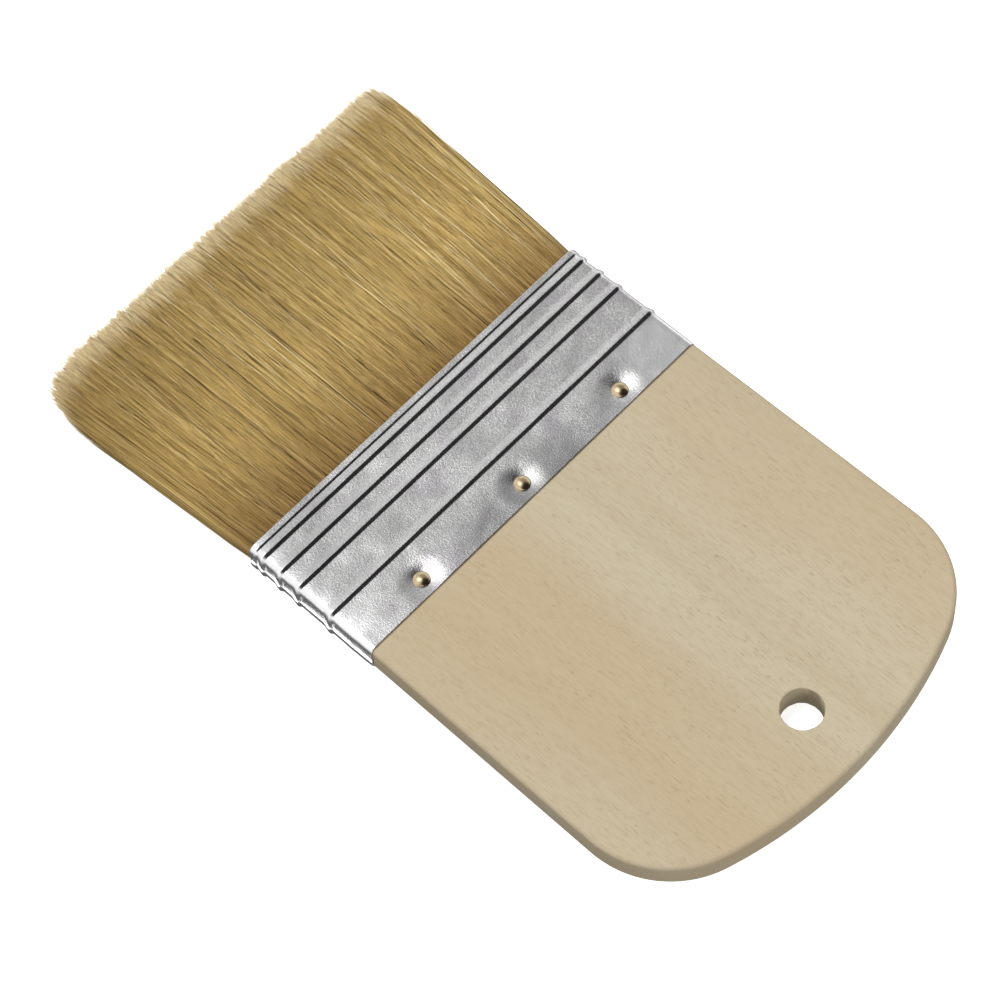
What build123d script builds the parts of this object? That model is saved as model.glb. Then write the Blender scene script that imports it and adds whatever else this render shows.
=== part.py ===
"""Flat wide brush: a wooden plate handle, a ribbed tinplate ferrule and two layers of bristle.

Frame: the brush lies on its back. +X runs along the brush towards the hanging hole, Y across its
width and +Z up. The origin is under the middle of its length and width, level with the lowest rib.
"""
from build123d import *
import os

# ---- Handle plate ---------------------------------------------------------------------------
plate_width = 78.7          # across the plate at the ferrule
plate_flare = 0.9           # extra width gained towards the free end
plate_thickness = 5.9
plate_edge_radius = 1.5     # eased edges all round
handle_exposed = 71.4       # from the ferrule to the free end
end_corner_radius = 18.8
end_bow_radius = 83.4       # gentle bow of the free end
tongue_length = 12.5        # part of the plate inside the ferrule
tongue_relief = 0.1         # the tongue is cut back this much all round for the sheet
hanging_hole_radius = 3.67
hanging_hole_inset = 12.5   # hole centre from the free end

# ---- Ferrule --------------------------------------------------------------------------------
ferrule_length = 28.4
sheet_thickness = 0.3
sheet_corner_radius = 2.6   # outside radius of the bent sides
fit_clearance = 0.05        # between the sheet and what it holds
rib_height = 0.35
rib_width = 2.0
rib_shoulder_radius = 0.3
rib_insets = (9.9, 17.4, 21.7, 25.8)   # rib centres from the wood end
lip_height = 0.2            # rolled edge at the mouth
lip_width = 1.4
lip_shoulder_radius = 0.15

# ---- Nails ----------------------------------------------------------------------------------
nail_inset = 3.2            # nail rows from the ferrule's wood end
nail_pitch = 24.2
nail_count = 3              # in each row
nail_stagger = 4.0          # the back row is shifted sideways so that the shanks pass
nail_head_radius = 1.45
nail_head_height = 0.75
nail_shank_radius = 0.6
nail_length = 4.2           # below the head
nail_point_length = 1.1
nail_clearance = 0.03       # around the shank
head_clearance = 0.15       # around the head on the floor of its dimple
dimple_depth = 0.5          # the sheet is driven in around each nail
dimple_flank = 1.4          # from the floor's rim out to the dimple's rim

# ---- Setting and bristles -------------------------------------------------------------------
setting_length = 4.5        # resin behind the bristle butts
bristle_exposed = 51.9      # longest bristles, from the ferrule's mouth
tip_slant = 2.8             # how much shorter they are at the -Y side
tuft_tip_width = 84.0       # across the flare
tuft_flare_inset = 12.0     # from the tip to where the flare ends
tuft_belly_thickness = 6.6
tuft_belly_start = 15.0     # from the bending line to where the belly is full
tuft_thinning_length = 14.0
tuft_tip_thickness = 4.4
tuft_corner_radius = 3.5    # worn corners of the tip
flex_axis_offset = 2.0      # bending line in front of the mouth
flex_root_radius = 2.8      # rounded root of the free bristles
flex_gap = 0.3              # between that root and the fixed butts
mouth_clearance = 0.9       # free bristles to the narrow sides of the ferrule

# ---- Places along and across the brush ------------------------------------------------------
total_length = handle_exposed + ferrule_length + bristle_exposed
handle_end_x = total_length / 2
wood_end_x = handle_end_x - handle_exposed
mouth_x = wood_end_x - ferrule_length
tip_x = -total_length / 2
hanging_hole_x = handle_end_x - hanging_hole_inset
nail_x = wood_end_x - nail_inset
tongue_end_x = wood_end_x - tongue_length
butts_start_x = tongue_end_x - setting_length
flex_x = mouth_x - flex_axis_offset
free_length = flex_x - tip_x

held_width = plate_width - 2 * tongue_relief
held_thickness = plate_thickness - 2 * tongue_relief
inner_width = held_width + 2 * fit_clearance
inner_thickness = held_thickness + 2 * fit_clearance
inner_corner_radius = sheet_corner_radius - sheet_thickness
held_corner_radius = inner_corner_radius - fit_clearance
outer_width = inner_width + 2 * sheet_thickness
outer_thickness = inner_thickness + 2 * sheet_thickness
groove_width = rib_width - 2 * sheet_thickness
mid_z = outer_thickness / 2 + max(rib_height, lip_height)
head_seat = outer_thickness / 2 - dimple_depth   # from the middle plane
dimple_floor_radius = nail_head_radius + head_clearance
dimple_radius = dimple_floor_radius + dimple_flank
wood_clearance = sheet_thickness + fit_clearance

FRONT = 1                   # faces up when the brush lies down
BACK = -1


def across(x):
    """Plane across the brush at x, centred in its thickness and facing the handle's end."""
    return Plane(origin=(x, 0, mid_z), x_dir=(0, 1, 0), z_dir=(1, 0, 0))


def side_on(face):
    """Plane along the brush from the bending line: its x runs to the tip, its y out of face."""
    return Plane(origin=(flex_x, 0, mid_z), x_dir=(-1, 0, 0), z_dir=(0, face, 0))


def nail_plane(y, face):
    """Plane through a nail's axis, from the seat of its head, with its y out of face."""
    seat = (nail_x, y, mid_z + face * head_seat)
    return Plane(origin=seat, x_dir=(1, 0, 0), z_dir=(0, -face, 0))


def nail_axis(y, face):
    """Axis of a nail, pointing out of face."""
    plane = nail_plane(y, face)
    return Axis(plane.origin, plane.y_dir)


def nail_places():
    """Each nail's number, place across the brush and face, front row first."""
    first = -nail_pitch * (nail_count - 1) / 2
    places = []
    for face in (FRONT, BACK):
        shift = nail_stagger if face == BACK else 0
        for number in range(nail_count):
            places.append((number + 1, first + number * nail_pitch + shift, face))
    return places


def funnel_profile(y, face, drop):
    """Half section of a dimple's funnel, as deep as the dimple and lowered by drop."""
    rim = dimple_depth - drop
    with BuildSketch(nail_plane(y, face)) as profile:
        with BuildLine():
            Polyline((0, -drop), (dimple_floor_radius, -drop), (dimple_radius, rim), (0, rim), close=True)
        make_face()
    return profile.sketch


def shank_hole_profile(y, face):
    """Half section of the hole that a nail's shank makes."""
    radius = nail_shank_radius + nail_clearance
    depth = nail_length + nail_clearance
    with BuildSketch(nail_plane(y, face)) as profile:
        with BuildLine():
            Polyline((0, dimple_depth), (radius, dimple_depth), (radius, -depth), (0, -depth), close=True)
        make_face()
    return profile.sketch


def save(part, name):
    """Label a finished piece and write its STEP file."""
    part.label = name
    export_step(part, f"parts/{name}.step")


os.makedirs("parts", exist_ok=True)

# ---- Handle: a plate with a bowed free end and a tongue inside the ferrule ------------------
half_root = plate_width / 2
half_end = half_root + plate_flare / 2

with BuildPart() as handle:
    with BuildSketch(Plane.XY.offset(mid_z - plate_thickness / 2)) as outline:
        with BuildLine():
            Polyline(
                (wood_end_x, half_root),
                (handle_end_x, half_end),
                (handle_end_x, -half_end),
                (wood_end_x, -half_root),
                close=True,
            )
        make_face()
        with Locations((handle_end_x - end_bow_radius, 0)):
            Circle(end_bow_radius, mode=Mode.INTERSECT)
        fillet(outline.vertices().sort_by(Axis.X)[-2:], radius=end_corner_radius)
    extrude(amount=plate_thickness)
    faces_up_and_down = handle.faces().filter_by(Axis.Z)
    rims = [edge for edge in faces_up_and_down.edges() if edge.center().X > wood_end_x + fit_clearance]
    fillet(rims, radius=plate_edge_radius)
    with BuildSketch(across(tongue_end_x)):
        RectangleRounded(held_width, held_thickness, held_corner_radius)
    extrude(amount=tongue_length)
    with Locations((hanging_hole_x, 0, mid_z)):
        Hole(hanging_hole_radius)
    for number, y, face in nail_places():
        revolve(funnel_profile(y, face, wood_clearance), axis=nail_axis(y, face), mode=Mode.SUBTRACT)
        revolve(shank_hole_profile(y, face), axis=nail_axis(y, face), mode=Mode.SUBTRACT)
save(handle.part, "handle")

# ---- Ferrule: a flattened tube of tinplate with four ribs, a rolled lip and nail dimples ----
bands = [(wood_end_x - inset, rib_width, rib_height, rib_shoulder_radius) for inset in rib_insets]
bands.append((mouth_x + lip_width / 2, lip_width, lip_height, lip_shoulder_radius))

with BuildPart() as ferrule:
    with BuildSketch(across(mouth_x)):
        RectangleRounded(outer_width, outer_thickness, sheet_corner_radius)
    extrude(amount=ferrule_length)
    for x, width, height, shoulder in bands:
        with BuildSketch(across(x - width / 2)):
            RectangleRounded(outer_width + 2 * height, outer_thickness + 2 * height,
                             sheet_corner_radius + height)
        extrude(amount=width)
        walls = [wall for wall in ferrule.faces().filter_by(Axis.X)
                 if abs(abs(wall.center().X - x) - width / 2) < fit_clearance]
        shoulders = [edge for wall in walls for edge in wall.outer_wire().edges()]
        fillet(shoulders, radius=shoulder)
    with BuildSketch(across(mouth_x)):
        RectangleRounded(inner_width, inner_thickness, inner_corner_radius)
    extrude(amount=ferrule_length, mode=Mode.SUBTRACT)
    for inset in rib_insets:
        with BuildSketch(across(wood_end_x - inset - groove_width / 2)):
            RectangleRounded(inner_width + 2 * rib_height, inner_thickness + 2 * rib_height,
                             inner_corner_radius + rib_height)
        extrude(amount=groove_width, mode=Mode.SUBTRACT)
    for number, y, face in nail_places():
        revolve(funnel_profile(y, face, sheet_thickness), axis=nail_axis(y, face))
        revolve(funnel_profile(y, face, 0), axis=nail_axis(y, face), mode=Mode.SUBTRACT)
        revolve(shank_hole_profile(y, face), axis=nail_axis(y, face), mode=Mode.SUBTRACT)
save(ferrule.part, "ferrule")

# ---- Nails: domed heads in the dimples, with pointed shanks in the wood ---------------------
for number, y, face in nail_places():
    with BuildPart() as nail:
        with BuildSketch(nail_plane(y, face)):
            with BuildLine():
                TangentArc((0, nail_head_height), (nail_head_radius, 0), tangent=(1, 0))
                Polyline(
                    (nail_head_radius, 0),
                    (nail_shank_radius, 0),
                    (nail_shank_radius, nail_point_length - nail_length),
                    (0, -nail_length),
                    (0, nail_head_height),
                )
            make_face()
        revolve(axis=nail_axis(y, face))
    row = "front" if face == FRONT else "back"
    save(nail.part, f"nail_{row}_{number}")

# ---- Resin setting: fills the ferrule between the tongue and the bristle butts --------------
with BuildPart() as setting:
    with BuildSketch(across(butts_start_x)):
        RectangleRounded(held_width, held_thickness, held_corner_radius)
    extrude(amount=setting_length)
save(setting.part, "resin_setting")

# ---- Bristles: fixed butts inside the ferrule and a free layer in front of each -------------
half_root_width = inner_width / 2 - mouth_clearance
half_tip_width = tuft_tip_width / 2

for face, row in ((FRONT, "front"), (BACK, "back")):
    with BuildPart() as butts:
        with BuildSketch(across(mouth_x)):
            RectangleRounded(held_width, held_thickness, held_corner_radius)
        extrude(amount=butts_start_x - mouth_x)
        split(bisect_by=Plane.XY.offset(mid_z), keep=Keep.TOP if face == FRONT else Keep.BOTTOM)
        with BuildSketch(side_on(face)):
            Circle(flex_root_radius + flex_gap)
        extrude(amount=plate_width, both=True, mode=Mode.SUBTRACT)
    save(butts.part, f"bristle_butts_{row}")

    with BuildPart() as layer:
        with BuildSketch(side_on(face)):
            with BuildLine():
                CenterArc((0, 0), flex_root_radius, 90, 90)
                Spline(
                    (0, flex_root_radius),
                    (tuft_belly_start, tuft_belly_thickness / 2),
                    (free_length - tuft_thinning_length, tuft_belly_thickness / 2),
                    (free_length, tuft_tip_thickness / 2),
                )
                Polyline((free_length, tuft_tip_thickness / 2), (free_length, 0), (-flex_root_radius, 0))
            make_face()
        extrude(amount=tuft_tip_width, both=True)
        with BuildSketch(Plane.XY.offset(mid_z - tuft_belly_thickness)) as plan:
            with BuildLine():
                Polyline(
                    (flex_x + flex_root_radius, half_root_width),
                    (mouth_x - flex_axis_offset, half_root_width),
                    (tip_x + tuft_flare_inset, half_tip_width),
                    (tip_x, half_tip_width),
                    (tip_x + tip_slant, -half_tip_width),
                    (tip_x + tuft_flare_inset, -half_tip_width),
                    (mouth_x - flex_axis_offset, -half_root_width),
                    (flex_x + flex_root_radius, -half_root_width),
                    close=True,
                )
            make_face()
            fillet(plan.vertices().sort_by(Axis.X)[:2], radius=tuft_corner_radius)
        extrude(amount=2 * tuft_belly_thickness, mode=Mode.INTERSECT)
    save(layer.part, f"bristles_{row}")
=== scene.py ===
"""A flat wide brush: raw wood handle, ribbed tinplate ferrule, six small nails and pale bristle."""
import logging
import math
from collections.abc import Mapping, Sequence
from dataclasses import dataclass, field
from enum import Enum
from typing import Any

import bmesh
import bpy
import numpy as np
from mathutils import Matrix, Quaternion, Vector


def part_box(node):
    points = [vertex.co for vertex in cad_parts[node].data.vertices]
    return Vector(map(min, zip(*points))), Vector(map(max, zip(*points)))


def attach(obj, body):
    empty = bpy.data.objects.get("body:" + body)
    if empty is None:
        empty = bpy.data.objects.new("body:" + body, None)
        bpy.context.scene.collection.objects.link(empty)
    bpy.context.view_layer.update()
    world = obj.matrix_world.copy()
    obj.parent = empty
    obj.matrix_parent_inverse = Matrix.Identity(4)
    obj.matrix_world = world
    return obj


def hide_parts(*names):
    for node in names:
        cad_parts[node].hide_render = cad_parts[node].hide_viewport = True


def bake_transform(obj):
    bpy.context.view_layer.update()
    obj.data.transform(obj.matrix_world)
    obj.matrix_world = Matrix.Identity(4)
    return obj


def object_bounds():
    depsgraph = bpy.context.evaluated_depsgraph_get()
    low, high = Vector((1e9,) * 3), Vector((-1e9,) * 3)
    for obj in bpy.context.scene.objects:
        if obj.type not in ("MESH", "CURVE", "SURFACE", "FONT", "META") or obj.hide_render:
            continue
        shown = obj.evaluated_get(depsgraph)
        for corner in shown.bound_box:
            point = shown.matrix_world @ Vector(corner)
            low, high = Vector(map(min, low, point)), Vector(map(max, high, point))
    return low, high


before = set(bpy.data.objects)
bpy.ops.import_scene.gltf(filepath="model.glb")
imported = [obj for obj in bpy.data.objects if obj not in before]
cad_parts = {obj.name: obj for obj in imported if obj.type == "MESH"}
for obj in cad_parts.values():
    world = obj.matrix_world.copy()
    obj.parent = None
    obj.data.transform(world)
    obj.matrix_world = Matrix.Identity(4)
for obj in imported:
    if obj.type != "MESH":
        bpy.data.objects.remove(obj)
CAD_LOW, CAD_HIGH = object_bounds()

MM = 0.001
DOUBLE = 1e-7
BAKE_LAYER = "OFBake"
log = logging.getLogger("brush")

Colour = tuple[float, float, float]
Point = tuple[float, float, float]


class Body(Enum):
    """Names for the two parts of the brush, the stock and the tuft; only the stock has pieces hung on it
    here.
    """

    STOCK = "stock"
    TUFT = "tuft"


class Slot(Enum):
    """The finishes by their names in the record."""

    RAW_WOOD = "raw_wood"
    TINPLATE = "tinplate"
    NAIL_METAL = "nail_metal"
    SETTING_RESIN = "setting_resin"
    BRISTLE = "bristle"


class Face(Enum):
    """The two broad sides of the brush: the front faces up when it lies down."""

    FRONT = 1
    BACK = -1


def linear(red: int, green: int, blue: int) -> Colour:
    """A colour chart's 0 to 255 values as the linear values that a shader takes."""
    return tuple(((c / 255 + 0.055) / 1.055) ** 2.4 if c > 10 else c / 3294.6 for c in (red, green, blue))


def arc_steps(first: float, last: float, count: int) -> list[float]:
    """Evenly spaced angles from first to last, in radians, both ends included."""
    return [first + (last - first) * step / count for step in range(count + 1)]


def on_circle(x: float, y: float, radius: float, turn: float) -> tuple[float, float, float, float]:
    """A place on a circle round (x, y) at an angle in radians, with the way out of the circle."""
    out_x, out_y = math.cos(turn), math.sin(turn)
    return x + radius * out_x, y + radius * out_y, out_x, out_y


# ---- Node trees -----------------------------------------------------------------------------
class Number:
    """A number that a node tree works out, written with ordinary operators."""

    def __init__(self, graph: "Graph", socket: bpy.types.NodeSocket) -> None:
        """Hold one output socket of a tree."""
        self.graph = graph
        self.socket = socket

    def __add__(self, other: Any) -> "Number":
        """Sum."""
        return self.graph.math("ADD", self, other)

    def __radd__(self, other: Any) -> "Number":
        """Sum, with the plain number first."""
        return self.graph.math("ADD", other, self)

    def __sub__(self, other: Any) -> "Number":
        """Difference."""
        return self.graph.math("SUBTRACT", self, other)

    def __rsub__(self, other: Any) -> "Number":
        """Difference, with the plain number first."""
        return self.graph.math("SUBTRACT", other, self)

    def __mul__(self, other: Any) -> "Number":
        """Product."""
        return self.graph.math("MULTIPLY", self, other)

    def __rmul__(self, other: Any) -> "Number":
        """Product, with the plain number first."""
        return self.graph.math("MULTIPLY", other, self)

    def __truediv__(self, other: Any) -> "Number":
        """Quotient."""
        return self.graph.math("DIVIDE", self, other)

    def __pow__(self, other: Any) -> "Number":
        """Power."""
        return self.graph.math("POWER", self, other)

    def __neg__(self) -> "Number":
        """The same size with the other sign."""
        return self.graph.math("MULTIPLY", self, -1.0)

    def __abs__(self) -> "Number":
        """Size without sign."""
        return self.graph.math("ABSOLUTE", self)


class Graph:
    """A node tree that is written as expressions."""

    def __init__(self, tree: bpy.types.NodeTree) -> None:
        """Work in a tree that exists."""
        self.tree = tree

    def node(
        self,
        kind: str,
        settings: Mapping[str, Any] | None = None,
        inputs: Mapping[Any, Any] | None = None,
    ) -> bpy.types.Node:
        """Add one node.

        Args:
            kind: the node's type name.
            settings: its properties, set first; "stops" holds a ramp's places and colours.
            inputs: values or links by socket name, or by socket number.

        Returns:
            The new node.
        """
        made = self.tree.nodes.new(kind)
        for name, value in (settings or {}).items():
            if name == "stops":
                self._set_stops(made.color_ramp, value)
            else:
                setattr(made, name, value)
        for key, value in (inputs or {}).items():
            self.put(self._find(made, key), value)
        return made

    @staticmethod
    def _set_stops(ramp: bpy.types.ColorRamp, stops: Sequence[tuple[float, Colour]]) -> None:
        """Give a colour ramp its places and colours.

        Args:
            ramp: the ramp, which is changed.
            stops: places from 0 to 1 with a colour each.
        """
        while len(ramp.elements) < len(stops):
            ramp.elements.new(1.0)
        for element, (place, colour) in zip(ramp.elements, stops):
            element.position = place
            element.color = (*colour, 1.0)

    @staticmethod
    def _find(node: bpy.types.Node, key: Any) -> bpy.types.NodeSocket:
        """The input with that number, or the one in use with that name.

        Args:
            node: the node to look on.
            key: a number or a name.

        Returns:
            The input.
        """
        if isinstance(key, int):
            return node.inputs[key]
        return next(socket for socket in node.inputs if socket.name == key and socket.enabled)

    def put(self, socket: bpy.types.NodeSocket, value: Any) -> None:
        """Link a socket, or set its own value.

        Args:
            socket: the input to fill.
            value: a Number, an output socket, a colour or a plain value.
        """
        if isinstance(value, Number):
            value = value.socket
        if isinstance(value, bpy.types.NodeSocket):
            self.tree.links.new(value, socket)
        elif socket.type == "RGBA":
            socket.default_value = (*value, 1.0)
        else:
            socket.default_value = value

    def number(self, node: bpy.types.Node, output: int = 0) -> Number:
        """One output of a node as a number."""
        return Number(self, node.outputs[output])

    def math(self, operation: str, *values: Any) -> Number:
        """One Math node on numbers."""
        return self.number(self.node("ShaderNodeMath", {"operation": operation}, dict(enumerate(values))))

    def smooth(self, value: Any, low: Any, high: Any, kind: str = "SMOOTHSTEP") -> Number:
        """0 below low and 1 above high, with a soft change between them."""
        inputs = {"Value": value, "From Min": low, "From Max": high}
        return self.number(self.node("ShaderNodeMapRange", {"interpolation_type": kind}, inputs))

    def blend(self, share: Number, first: float, second: float) -> Number:
        """A number between two plain ones."""
        return (second - first) * share + first

    def vector(self, x: Any = 0.0, y: Any = 0.0, z: Any = 0.0) -> bpy.types.NodeSocket:
        """Three numbers as one vector."""
        return self.node("ShaderNodeCombineXYZ", None, {"X": x, "Y": y, "Z": z}).outputs[0]

    def parts(self, vector: bpy.types.NodeSocket) -> tuple[Number, Number, Number]:
        """The three numbers of a vector."""
        split = self.node("ShaderNodeSeparateXYZ", None, {"Vector": vector})
        return self.number(split, 0), self.number(split, 1), self.number(split, 2)

    def noise(
        self,
        vector: bpy.types.NodeSocket,
        scale: float,
        detail: float = 2.0,
        roughness: float = 0.5,
        distortion: float = 0.0,
    ) -> Number:
        """A smooth random value over a vector.

        Args:
            vector: where to read it.
            scale: how many swells there are in one unit.
            detail: how many finer layers it has.
            roughness: how strong the finer layers are.
            distortion: how far they push each other about.

        Returns:
            A number from 0 to 1.
        """
        inputs = {"Vector": vector, "Scale": scale, "Detail": detail, "Roughness": roughness,
                  "Distortion": distortion}
        return self.number(self.node("ShaderNodeTexNoise", None, inputs))

    def stretched(
        self, vector: bpy.types.NodeSocket, x: float, y: float, z: float
    ) -> bpy.types.NodeSocket:
        """A vector with each direction scaled by itself."""
        inputs = {0: vector, 1: (x, y, z)}
        return self.node("ShaderNodeVectorMath", {"operation": "MULTIPLY"}, inputs).outputs[0]

    def colour_mix(self, share: Any, first: Any, second: Any, kind: str = "MIX") -> bpy.types.NodeSocket:
        """A colour between two others, or one laid over the other."""
        settings = {"data_type": "RGBA", "blend_type": kind, "clamp_factor": True}
        return self.node("ShaderNodeMix", settings, {0: share, 6: first, 7: second}).outputs[2]

    def ramp(self, place: Any, *stops: tuple[float, Colour]) -> bpy.types.NodeSocket:
        """A colour read from a row of stops."""
        return self.node("ShaderNodeValToRGB", {"stops": stops}, {"Fac": place}).outputs[0]


class GeometryTree(Graph):
    """A Geometry Nodes tree with named inputs, which makes one plain mesh."""

    KINDS = {float: "NodeSocketFloat", int: "NodeSocketInt", bpy.types.Material: "NodeSocketMaterial",
             bpy.types.Object: "NodeSocketObject"}

    def __init__(self, name: str, values: Mapping[str, Any]) -> None:
        """Open a tree with its inputs.

        Args:
            name: the tree's name.
            values: each input's name and value.
        """
        super().__init__(bpy.data.node_groups.new(name, "GeometryNodeTree"))
        self.values = dict(values)
        face = self.tree.interface
        face.new_socket("Geometry", in_out="OUTPUT", socket_type="NodeSocketGeometry")
        face.new_socket("Geometry", in_out="INPUT", socket_type="NodeSocketGeometry")
        for label, value in self.values.items():
            face.new_socket(label, in_out="INPUT", socket_type=self.KINDS[type(value)])
        self.start = self.tree.nodes.new("NodeGroupInput")

    def size(self, label: str) -> Number:
        """One named input as a number."""
        return Number(self, self.start.outputs[label])

    def random(self, low: Any, high: Any, seed: int) -> Number:
        """A random number for each point, with the tree's own seed added."""
        inputs = {2: low, 3: high, "Seed": self.size("Seed") + float(seed)}
        return Number(self, self.node("FunctionNodeRandomValue", {"data_type": "FLOAT"}, inputs).outputs[1])

    def keep(self, geometry: Any, name: str, value: Any) -> bpy.types.NodeSocket:
        """Store a number on each point under a name."""
        inputs = {"Geometry": geometry, "Name": name, "Value": value}
        return self.node("GeometryNodeStoreNamedAttribute", {"data_type": "FLOAT"}, inputs).outputs[0]

    def kept(self, name: str) -> Number:
        """A stored number."""
        kind = "GeometryNodeInputNamedAttribute"
        return self.number(self.node(kind, {"data_type": "FLOAT"}, {"Name": name}))

    def close(self, geometry: bpy.types.NodeSocket) -> None:
        """End the tree: make instances real, then set smooth shading and the finish.

        Args:
            geometry: what the tree has made.
        """
        real = self.node("GeometryNodeRealizeInstances", None, {"Geometry": geometry})
        smooth = self.node("GeometryNodeSetShadeSmooth", None, {"Geometry": real.outputs[0]})
        dressed = self.node("GeometryNodeSetMaterial", None,
                            {"Geometry": smooth.outputs[0], "Material": self.start.outputs["Material"]})
        end = self.tree.nodes.new("NodeGroupOutput")
        self.tree.links.new(dressed.outputs[0], end.inputs[0])

    def make(
        self,
        name: str,
        mesh: bpy.types.Mesh | None = None,
        changed: Mapping[str, Any] | None = None,
    ) -> bpy.types.Object:
        """Run the tree on a mesh.

        Args:
            name: the finished piece's name.
            mesh: what the tree starts from, or nothing.
            changed: inputs with another value than the tree's own.

        Returns:
            An object at the origin with the result as a plain mesh and no modifier.
        """
        piece = add_piece(name, mesh or bpy.data.meshes.new(name))
        modifier = piece.modifiers.new(self.tree.name, "NODES")
        modifier.node_group = self.tree
        values = {**self.values, **(changed or {})}
        for item in self.tree.interface.items_tree:
            if item.in_out == "INPUT" and item.name in values:
                modifier[item.identifier] = values[item.name]
        evaluated = piece.evaluated_get(bpy.context.evaluated_depsgraph_get())
        result = bpy.data.meshes.new_from_object(evaluated)
        result.name = name
        piece.modifiers.remove(modifier)
        piece.data = result
        return piece


# ---- Finishes -------------------------------------------------------------------------------
class Finish:
    """A material that is built as a node tree."""

    label = "finish"

    def material(self) -> bpy.types.Material:
        """Make the material.

        Returns:
            The material, named after its finish.
        """
        made = bpy.data.materials.new(self.label)
        made.use_nodes = True
        made.node_tree.nodes.clear()
        graph = Graph(made.node_tree)
        shader = graph.node("ShaderNodeBsdfPrincipled")
        self.dress(graph, shader)
        out = graph.node("ShaderNodeOutputMaterial")
        graph.tree.links.new(shader.outputs[0], out.inputs["Surface"])
        return made

    def dress(self, graph: Graph, shader: bpy.types.Node) -> None:
        """Set and link the sockets of the main shader.

        Args:
            graph: the material's tree.
            shader: its main shader.
        """
        raise NotImplementedError

    @staticmethod
    def place(graph: Graph) -> bpy.types.NodeSocket:
        """The place on the piece, in metres."""
        return graph.node("ShaderNodeTexCoord").outputs["Object"]

    @staticmethod
    def settle(graph: Graph, shader: bpy.types.Node, inputs: Mapping[str, Any]) -> None:
        """Put values or links on the main shader."""
        for key, value in inputs.items():
            graph.put(shader.inputs[key], value)

    @staticmethod
    def bump(graph: Graph, height: Number, distance: float, below: Any = None) -> bpy.types.NodeSocket:
        """A bump in the surface.

        Args:
            graph: the material's tree.
            height: how high it is at each place, as a share of distance.
            distance: the height of a full share, in metres.
            below: another bump that it lies over.

        Returns:
            The bent normal.
        """
        inputs = {"Height": height, "Distance": distance, "Strength": 1.0}
        if below is not None:
            inputs["Normal"] = below
        return graph.node("ShaderNodeBump", None, inputs).outputs[0]


@dataclass(frozen=True)
class RawWood(Finish):
    """Pale close-grained wood, sanded and left bare, with its grain along X."""

    joint_x: float
    base: Colour = linear(177, 166, 142)
    warm: Colour = linear(172, 152, 123)
    shade: Colour = linear(156, 137, 106)
    pore: Colour = linear(122, 94, 60)
    # painted shadow: the dark line on the wood beside the ferrule's end, and how far past that end it
    # starts and fades
    painted_shadow_line: Colour = linear(70, 54, 38)
    shadow_line_span: tuple[float, float] = (0.05 * MM, 0.32 * MM)
    label = Slot.RAW_WOOD.value

    def dress(self, graph: Graph, shader: bpy.types.Node) -> None:
        """Growth lines, warm patches, short pores and a painted shadow line on the wood at the ferrule's
        end.

        Args:
            graph: the material's tree.
            shader: its main shader.
        """
        place = self.place(graph)
        lines = graph.noise(graph.stretched(place, 5.0, 130.0, 60.0), 1.0, 3.0, 0.55, 0.3)
        broad = graph.noise(graph.stretched(place, 8.0, 26.0, 20.0), 1.0, 2.0, 0.5)
        colour = graph.colour_mix(graph.smooth(lines, 0.45, 0.70) * 0.22, self.base, self.shade)
        colour = graph.colour_mix(graph.smooth(broad, 0.40, 0.68) * 0.60, colour, self.warm)
        fibre = graph.noise(graph.stretched(place, 420.0, 3600.0, 3600.0), 1.0, 3.0, 0.7)
        colour = graph.colour_mix(graph.smooth(fibre, 0.42, 0.75) * 0.42, colour, self.shade)
        pores = graph.noise(graph.stretched(place, 620.0, 6800.0, 6800.0), 1.0, 1.0, 0.5)
        crowd = graph.noise(graph.stretched(place, 90.0, 200.0, 200.0), 1.0, 2.0, 0.5)
        pore = graph.smooth(pores, 0.66, 0.76) * graph.smooth(crowd, 0.30, 0.60)
        colour = graph.colour_mix(pore * 0.5, colour, self.pore)
        along, _, _ = graph.parts(place)
        # painted shadow: a thin dark line on the wood just past the ferrule's end
        near, far = self.shadow_line_span
        shadow_share = 1.0 - graph.smooth(along, self.joint_x + near, self.joint_x + far)
        colour = graph.colour_mix(shadow_share * 0.75, colour, self.painted_shadow_line)
        height = fibre * 0.5 - pore * 1.5
        self.settle(graph, shader, {
            "Base Color": colour,
            "Roughness": graph.blend(fibre, 0.62, 0.78),
            "Specular IOR Level": 0.25,
            "Normal": self.bump(graph, height, 0.02 * MM),
        })


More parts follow.
